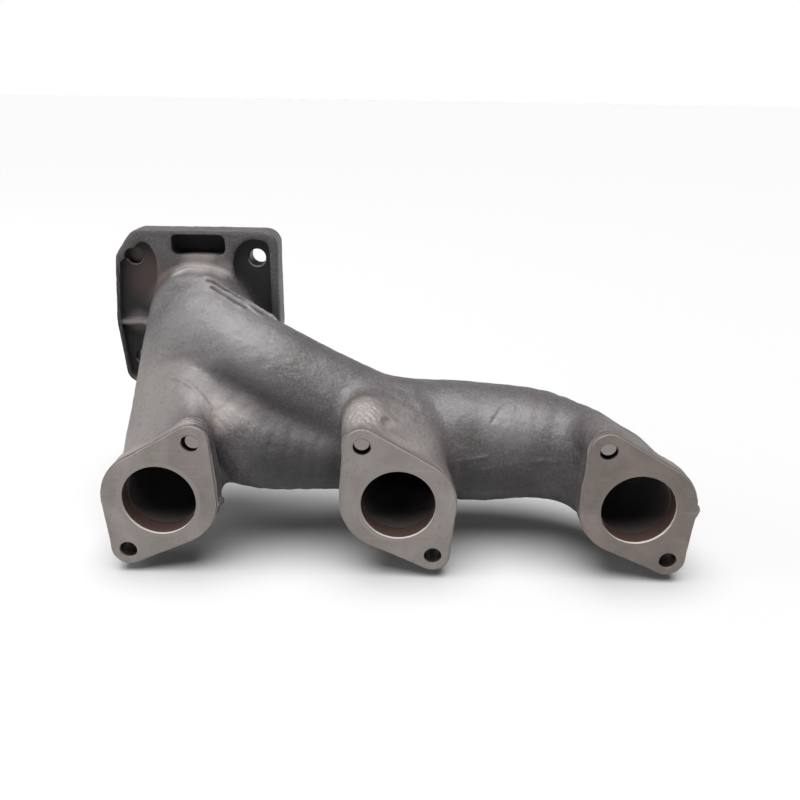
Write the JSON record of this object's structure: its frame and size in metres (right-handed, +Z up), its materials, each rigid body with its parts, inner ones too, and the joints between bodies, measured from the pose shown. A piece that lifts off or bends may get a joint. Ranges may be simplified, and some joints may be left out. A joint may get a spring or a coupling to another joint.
{
  "type": "exhaust manifold",
  "caption": "Cast-iron log-type exhaust manifold: curved runners from a row of lozenge port flanges merge into one raised turbocharger flange, with layered steel gaskets",
  "frame": {"origin": "centre of the middle port's bore, on the outer face of its gasket, which is the plane that meets the cylinder head", "axes": "+X along the row of ports towards port 3, +Y from the cylinder head towards the turbocharger, +Z up"},
  "size_m": [0.308, 0.106, 0.1543],
  "materials": {
    "cast_iron": "as cast, satin, brown-grey with a light bloom of rust",
    "gasket_facing": "satin sheet steel, heat-dulled",
    "gasket_core": "satin sheet steel",
    "gasket_eyelet": "satin pressed steel"
  },
  "bodies": {
    "root": {"manifold_casting": "cast_iron", "port_1_gasket_front_sheet": "gasket_facing", "port_1_gasket_core_sheet": "gasket_core", "port_1_gasket_rear_sheet": "gasket_facing", "port_1_gasket_eyelet": "gasket_eyelet", "port_2_gasket_front_sheet": "gasket_facing", "port_2_gasket_core_sheet": "gasket_core", "port_2_gasket_rear_sheet": "gasket_facing", "port_2_gasket_eyelet": "gasket_eyelet", "port_3_gasket_front_sheet": "gasket_facing", "port_3_gasket_core_sheet": "gasket_core", "port_3_gasket_rear_sheet": "gasket_facing", "port_3_gasket_eyelet": "gasket_eyelet", "turbo_gasket_front_sheet": "gasket_facing", "turbo_gasket_core_sheet": "gasket_core", "turbo_gasket_rear_sheet": "gasket_facing", "turbo_gasket_eyelet": "gasket_eyelet"}
  },
  "joints": []
}
